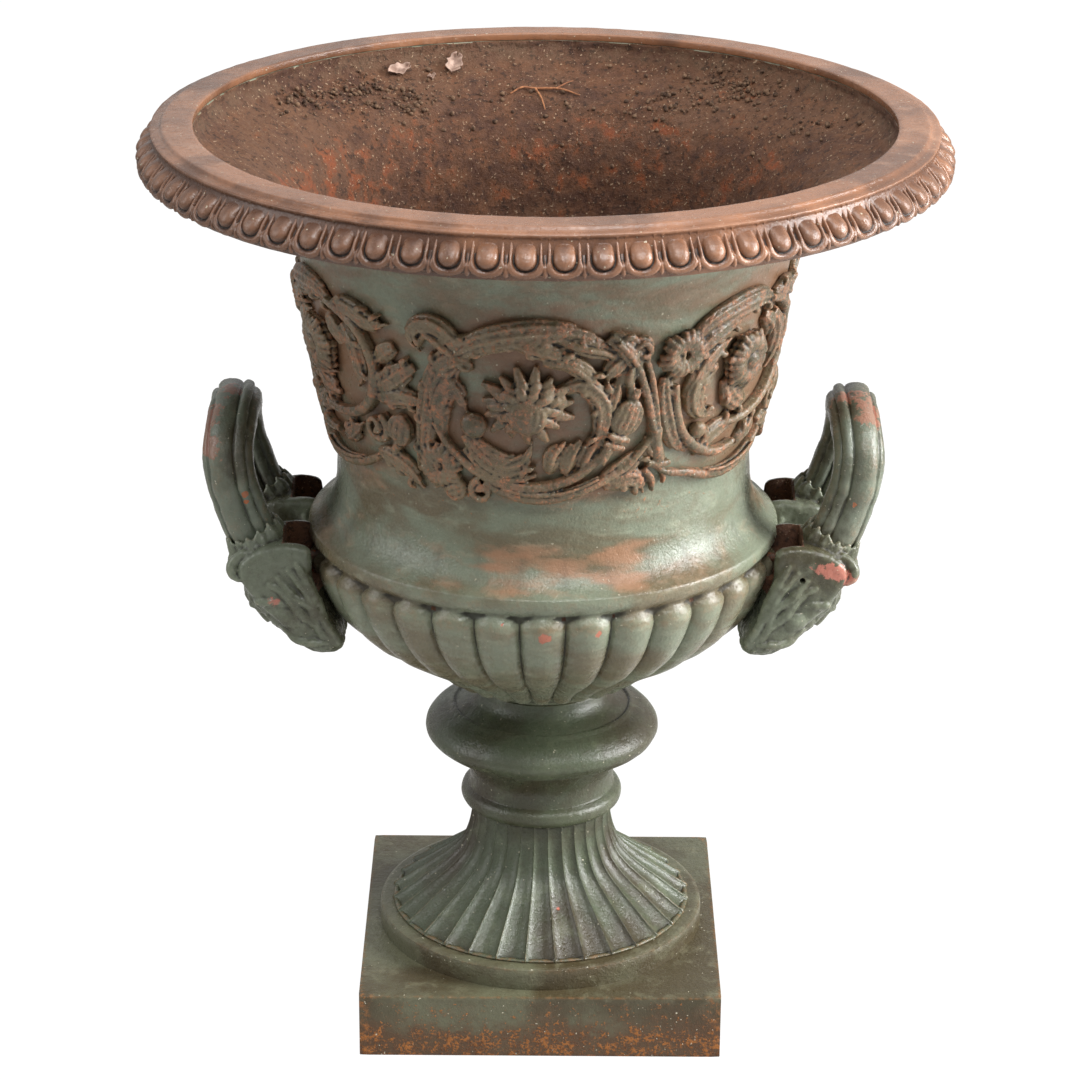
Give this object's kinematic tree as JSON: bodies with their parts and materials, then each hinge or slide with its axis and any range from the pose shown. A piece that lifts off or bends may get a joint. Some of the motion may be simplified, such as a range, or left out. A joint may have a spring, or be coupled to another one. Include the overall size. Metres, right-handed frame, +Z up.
{
  "type": "garden planter",
  "caption": "Campana-shaped cast iron garden urn with gadrooned bowl, flaring bell, egg-and-dart rim, hoop handles on bearded heads, fluted socle and square plinth.",
  "frame": {"origin": "centre of the square underside of the plinth, on the ground", "axes": "+Z up the planter's axis; the front looks along -Y; the handles stand out along +X and -X"},
  "size_m": [0.7136, 0.7136, 0.84],
  "materials": {
    "painted_iron": "weathered grey-green paint over red-brown primer on cast iron, chipped and rust spotted",
    "primed_iron": "semi-gloss red-brown primer on cast iron with faint green paint left in places",
    "relief_iron": "brown primer worn to orange rust on the raised edges",
    "handle_iron": "grey-green paint with rust pits and patches of red primer",
    "fastener_iron": "dark rusted wrought iron"
  },
  "bodies": {
    "root": {"plinth": "painted_iron", "fluted_socle": "painted_iron", "stem_knop": "painted_iron", "bowl": "painted_iron", "egg_and_dart_rim": "primed_iron", "tie_rod": "fastener_iron", "tie_rod_plates": "fastener_iron", "tie_rod_nuts": "fastener_iron", "handle_right": "handle_iron", "handle_left": "handle_iron", "head_right_front": "handle_iron", "head_right_rear": "handle_iron", "head_left_front": "handle_iron", "head_left_rear": "handle_iron", "head_bolts": "fastener_iron", "scroll_panel_1": "relief_iron", "scroll_panel_2": "relief_iron", "scroll_panel_3": "relief_iron", "scroll_panel_4": "relief_iron", "scroll_panel_5": "relief_iron", "scroll_panel_6": "relief_iron"}
  },
  "joints": []
}
